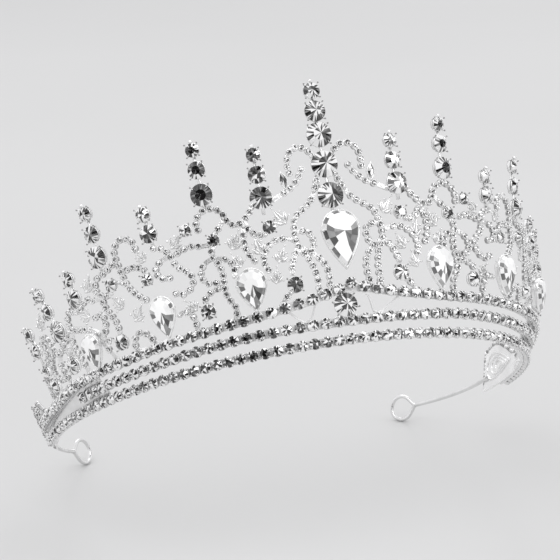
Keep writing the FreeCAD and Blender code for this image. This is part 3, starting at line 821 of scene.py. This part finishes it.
def end_trim(side):
    """Beads up the end of a plate and along its top edge, and three loops on its inner face."""
    plate = frame["nodes"]["end_plate_" + side].data
    to_band = TIP.transposed()
    corners = np.array([to_band @ (v.co - BAND_ORIGIN) / MM for v in plate.vertices])
    end = corners[:, 1].max()
    border = [corners[(corners[:, 1] > end - STEP_REACH) & (corners[:, 2] < 1.0)].mean(0)]
    for step in range(BORDER_STEPS):
        near = corners[abs(corners[:, 1] - end + BORDER_STEP * step) < STEP_REACH]
        if len(near) and near[:, 2].max() > LOWEST_TOP:
            border.append(near[near[:, 2] > near[:, 2].max() - EDGE_DEPTH].mean(0))
    trim = Shape()
    band = Matrix.Translation(BAND_ORIGIN) @ TIP.to_4x4()
    for a, b in zip(border, border[1:]):
        a, b = Vector(a) * MM, Vector(b) * MM
        count = max(round((b - a).length / BORDER_PITCH), 1)
        for i in range(1, count + 1):
            bead(trim, band, a.lerp(b, i / count), BORDER_BEAD, chance.uniform(*BORDER_TONES))
    plate_faces = [list(f.vertices) for f in plate.polygons]
    surface = BVHTree.FromPolygons([v.co for v in plate.vertices], plate_faces)
    way = TIP @ Vector((math.copysign(1.0, corners[0, 0]), 0, 0))
    for scale in LOOP_SIZES:
        path = []
        for p in drop_outline(LOOP_HALF_WIDTH * scale, LOOP_LENGTH * scale, 0, 32):
            spot = Vector((0, end - LOOP_SETBACK + p.y, LOOP_HEIGHT + p.x + LOOP_SLOPE * p.y)) * MM
            hit = surface.ray_cast(BAND_ORIGIN + TIP @ spot, way)[0]
            if hit:
                path.append(hit)
        tube(trim, path + path[:1], [LOOP_RADIUS] * (len(path) + 1))
    trim.piece("end_trim_" + side, TONED_SILVER, [], "plated_metal", True)


for side in ("left", "right"):
    end_trim(side)

# ---- CAD nodes that keep their own shape ----
KEPT_METALS = {"wire_arm": WIRE, "end_plate": POLISHED}
for name, node in frame["nodes"].items():
    if node.hide_render:
        continue
    metal = KEPT_METALS.get(name.rsplit("_", 1)[0], SCROLL_SILVER if name.startswith("scroll") else SILVER)
    node.data.materials.clear()
    node.data.materials.append(metal)

# ---- Floor, light and camera ----
FLOOR_REACH = 6


def floor():
    """Pale floor at the lowest point of the CAD."""
    material, nodes, links, shader = new_material("pale_floor")
    cloud = noise_node(nodes, 3.0)
    place = nodes.new("ShaderNodeTexCoord")
    links.new(place.outputs["Object"], cloud.inputs["Vector"])
    colour = ramp(nodes, ((0.3, 0.545), (0.7, 0.565)))
    links.new(cloud.outputs["Fac"], colour.inputs["Fac"])
    links.new(colour.outputs["Color"], shader.inputs["Base Color"])
    shader.inputs["Roughness"].default_value = 0.3
    shader.inputs["Specular IOR Level"].default_value = 0.4
    mesh = bpy.data.meshes.new("floor")
    z = cad_box[0][2]
    r = FLOOR_REACH
    mesh.from_pydata([(-r, -r, z), (r, -r, z), (r, r, z), (-r, r, z)], [], [(0, 1, 2, 3)])
    mesh.materials.append(material)
    made = bpy.data.objects.new("floor", mesh)
    bpy.context.scene.collection.objects.link(made)


def card(name, centre, facing, width, height):
    """Black studio card that only shows in reflections."""
    material, nodes, links, shader = new_material(name)
    cloud = noise_node(nodes, 4.0)
    colour = ramp(nodes, ((0.3, 0.008), (0.7, 0.016)))
    links.new(cloud.outputs["Fac"], colour.inputs["Fac"])
    links.new(colour.outputs["Color"], shader.inputs["Base Color"])
    shader.inputs["Roughness"].default_value = 0.9
    mesh = bpy.data.meshes.new(name)
    w, h = width / 2, height / 2
    mesh.from_pydata([(-w, -h, 0), (w, -h, 0), (w, h, 0), (-w, h, 0)], [], [(0, 1, 2, 3)])
    mesh.materials.append(material)
    made = bpy.data.objects.new(name, mesh)
    made.matrix_world = frame_at(Vector(centre), Vector(facing) - Vector(centre), Vector((0, 0, 1)))
    made.visible_camera = False
    made.visible_diffuse = False
    made.visible_shadow = False
    bpy.context.scene.collection.objects.link(made)


def area_light(name, centre, size, power):
    """Soft light that faces the middle of the tiara."""
    light = bpy.data.lights.new(name, "AREA")
    light.shape = "RECTANGLE"
    light.size, light.size_y = size
    light.energy = power
    made = bpy.data.objects.new(name, light)
    made.matrix_world = frame_at(Vector(centre), Vector(centre) - TARGET, Vector((0, 0, 1)))
    bpy.context.scene.collection.objects.link(made)


TARGET = (Vector(cad_box[0]) + Vector(cad_box[1])) / 2
floor()
card("card_left", (-0.55, -0.75, 0.56), TARGET, 0.5, 0.9)
card("card_low", (0.15, -0.9, 0.2), TARGET, 0.9, 0.18)
card("card_top", (0.2, -0.2, 0.9), TARGET, 0.35, 0.35)
card("card_right", (0.9, -0.35, 0.46), TARGET, 0.35, 0.7)
area_light("key", (-0.35, -0.7, 1.1), (0.9, 0.9), 4.5)
area_light("fill", (0.9, -0.6, 0.7), (0.7, 1.0), 2.5)
area_light("rim", (0.2, 0.8, 1.15), (1.2, 0.6), 3.4)

world = bpy.data.worlds.new("studio")
world.use_nodes = True
world.node_tree.nodes["Background"].inputs["Color"].default_value = (0.97, 0.97, 0.98, 1.0)
world.node_tree.nodes["Background"].inputs["Strength"].default_value = 0.95
bpy.context.scene.world = world
bpy.context.scene.view_settings.view_transform = "Standard"

VIEW_AZIMUTH = math.radians(-14.72)
VIEW_ELEVATION = math.radians(-13.45)
VIEW_ROLL = math.radians(-10.41)
VIEW_OFFSET = Vector((-2.346, 37.424, 750.0)) * MM
VIEW_LENS = 160.7
SENSOR_WIDTH = 36.0
camera = bpy.data.objects.new("camera", bpy.data.cameras.new("camera"))
back = Vector((math.sin(VIEW_AZIMUTH) * math.cos(VIEW_ELEVATION),
               -math.cos(VIEW_AZIMUTH) * math.cos(VIEW_ELEVATION), math.sin(VIEW_ELEVATION)))
right = Vector((math.cos(VIEW_AZIMUTH), math.sin(VIEW_AZIMUTH), 0))
up = back.cross(right)
rolled_right = right * math.cos(VIEW_ROLL) + up * math.sin(VIEW_ROLL)
rolled_up = up * math.cos(VIEW_ROLL) - right * math.sin(VIEW_ROLL)
axes = TIP @ Matrix((rolled_right, rolled_up, back)).transposed()
camera.matrix_world = Matrix.Translation(BAND_ORIGIN + axes @ VIEW_OFFSET) @ axes.to_4x4()
camera.data.lens = VIEW_LENS
camera.data.sensor_width = SENSOR_WIDTH
bpy.context.scene.collection.objects.link(camera)
bpy.context.scene.camera = camera
